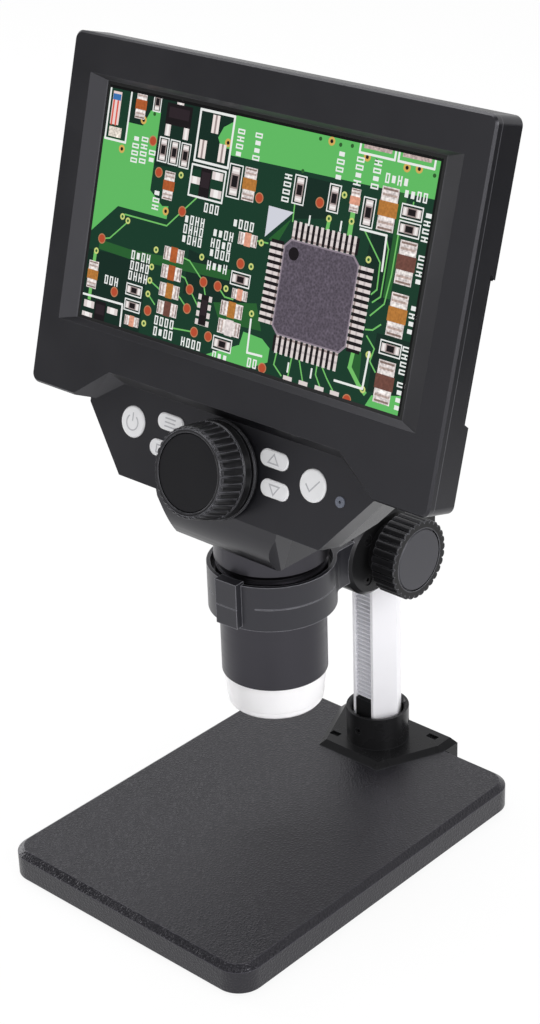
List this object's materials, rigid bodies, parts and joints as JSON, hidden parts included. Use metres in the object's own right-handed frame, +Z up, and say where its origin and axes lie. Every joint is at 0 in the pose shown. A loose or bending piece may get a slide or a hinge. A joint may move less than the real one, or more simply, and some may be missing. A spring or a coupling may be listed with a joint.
{
  "type": "lcd_digital_microscope",
  "caption": "Desktop digital microscope with a tilted screen, a focus knob and a lens barrel on a rack and pinion stand",
  "frame": {"origin": "middle of the base's flat underside, on the lower face of the base cover; the rubber feet stand out 0.8 mm below it", "axes": "+Z up along the pole, +Y away from the user towards the pole, +X to the user's right, where the height knob is"},
  "size_m": [0.1934, 0.1724, 0.3074],
  "materials": {
    "base_plastic": "fine texture",
    "stand_plastic": "satin",
    "body_plastic": "fine texture",
    "knob_plastic": "satin",
    "bearing_plastic": "smooth",
    "rack_plastic": "smooth",
    "chip_plastic": "smooth",
    "foot_rubber": "matt",
    "screw_steel": "plated",
    "pole_aluminium": "satin anodised",
    "barrel_metal": "dark anodised",
    "gear_brass": "turned",
    "board_metal": "stamped",
    "battery_foil": "foil",
    "circuit_board": "solder mask",
    "cable_film": "film",
    "white_board": "solder mask",
    "led_white": "lens",
    "button_silver": "silver paint",
    "milky_plastic": "smooth",
    "screen_glass": "semi-gloss",
    "lens_glass": "polished"
  },
  "bodies": {
    "stand": {"base_shell": "base_plastic", "base_cover": "body_plastic", "base_weight": "screw_steel", "rubber_feet": "foot_rubber", "base_screws": "screw_steel", "pole_foot": "stand_plastic", "foot_screws": "screw_steel", "pole_screw": "screw_steel", "set_screws": "screw_steel", "pole": "pole_aluminium", "pole_cap": "body_plastic", "gear_rack": "rack_plastic", "slot_key": "body_plastic"},
    "carriage": {"carriage_housing": "stand_plastic", "side_cover": "stand_plastic", "cover_screws": "screw_steel", "ring_holder": "stand_plastic", "ring_screws": "screw_steel", "brake_pad": "bearing_plastic", "brake_spring": "screw_steel", "brake_screw": "screw_steel"},
    "height_drive": {"pinion_shaft": "gear_brass", "height_knob": "knob_plastic", "knob_cap": "knob_plastic", "shaft_clip": "screw_steel"},
    "head": {"front_shell": "body_plastic", "rear_shell": "body_plastic", "shell_screws": "screw_steel", "lcd_panel": "screen_glass", "lcd_backlight": "board_metal", "main_board": "circuit_board", "board_parts": "chip_plastic", "battery": "battery_foil", "ribbon_cable": "cable_film", "button_board": "circuit_board", "key_switches": "chip_plastic", "indicator_lens": "button_silver", "usb_port": "board_metal", "card_slot": "board_metal", "lens_barrel": "barrel_metal", "light_cap": "milky_plastic", "led_board": "white_board", "white_leds": "led_white", "sensor_board": "circuit_board", "focus_bush": "gear_brass"},
    "focus_drive": {"focus_knob": "knob_plastic", "focus_cap": "knob_plastic", "focus_shaft": "screw_steel"},
    "lens_slide": {"lens_carrier": "bearing_plastic", "lens_glass": "lens_glass", "lens_ring": "knob_plastic"},
    "power_button_body": {"power_button": "button_silver"},
    "menu_button_body": {"menu_button": "button_silver"},
    "camera_button_body": {"camera_button": "button_silver"},
    "up_button_body": {"up_button": "button_silver"},
    "down_button_body": {"down_button": "button_silver"},
    "ok_button_body": {"ok_button": "button_silver"}
  },
  "joints": [
    {"name": "height_slide", "type": "slide", "parent": "stand", "child": "carriage", "axis": [0, 0, 1], "range_m": [-0.04, 0.07]},
    {"name": "height_knob_turn", "type": "hinge", "parent": "carriage", "child": "height_drive", "pos_m": [0, 0.0562, 0.1116], "axis": [1, 0, 0], "range_deg": [-680, 390]},
    {"name": "head_turn", "type": "hinge", "parent": "carriage", "child": "head", "pos_m": [0, 0.0084, 0.1177], "axis": [0, 0, 1], "range_deg": [-20, 20]},
    {"name": "focus_knob_turn", "type": "hinge", "parent": "head", "child": "focus_drive", "pos_m": [0, -0.02054, 0.16862], "axis": [0, -0.9627, 0.2706], "range_deg": [-65, 65]},
    {"name": "lens_slide_up", "type": "slide", "parent": "head", "child": "lens_slide", "axis": [0, 0, 1], "range_m": [-0.005, 0.005]},
    {"name": "power_button_press", "type": "slide", "parent": "head", "child": "power_button_body", "axis": [0, 0.9627, -0.2706], "range_m": [0, 0.0008], "stiffness_N_per_m": 1500, "springref_m": -0.0003},
    {"name": "menu_button_press", "type": "slide", "parent": "head", "child": "menu_button_body", "axis": [0, 0.9627, -0.2706], "range_m": [0, 0.0008], "stiffness_N_per_m": 1500, "springref_m": -0.0003},
    {"name": "camera_button_press", "type": "slide", "parent": "head", "child": "camera_button_body", "axis": [0, 0.9627, -0.2706], "range_m": [0, 0.0008], "stiffness_N_per_m": 1500, "springref_m": -0.0003},
    {"name": "up_button_press", "type": "slide", "parent": "head", "child": "up_button_body", "axis": [0, 0.9627, -0.2706], "range_m": [0, 0.0008], "stiffness_N_per_m": 1500, "springref_m": -0.0003},
    {"name": "down_button_press", "type": "slide", "parent": "head", "child": "down_button_body", "axis": [0, 0.9627, -0.2706], "range_m": [0, 0.0008], "stiffness_N_per_m": 1500, "springref_m": -0.0003},
    {"name": "ok_button_press", "type": "slide", "parent": "head", "child": "ok_button_body", "axis": [0, 0.9627, -0.2706], "range_m": [0, 0.0008], "stiffness_N_per_m": 1500, "springref_m": -0.0003}
  ],
  "couplings": [
    {"joint": "height_knob_turn", "follows": "height_slide", "rad_per_m": -166.67},
    {"joint": "lens_slide_up", "follows": "focus_knob_turn", "m_per_rad": 0.0043628}
  ]
}
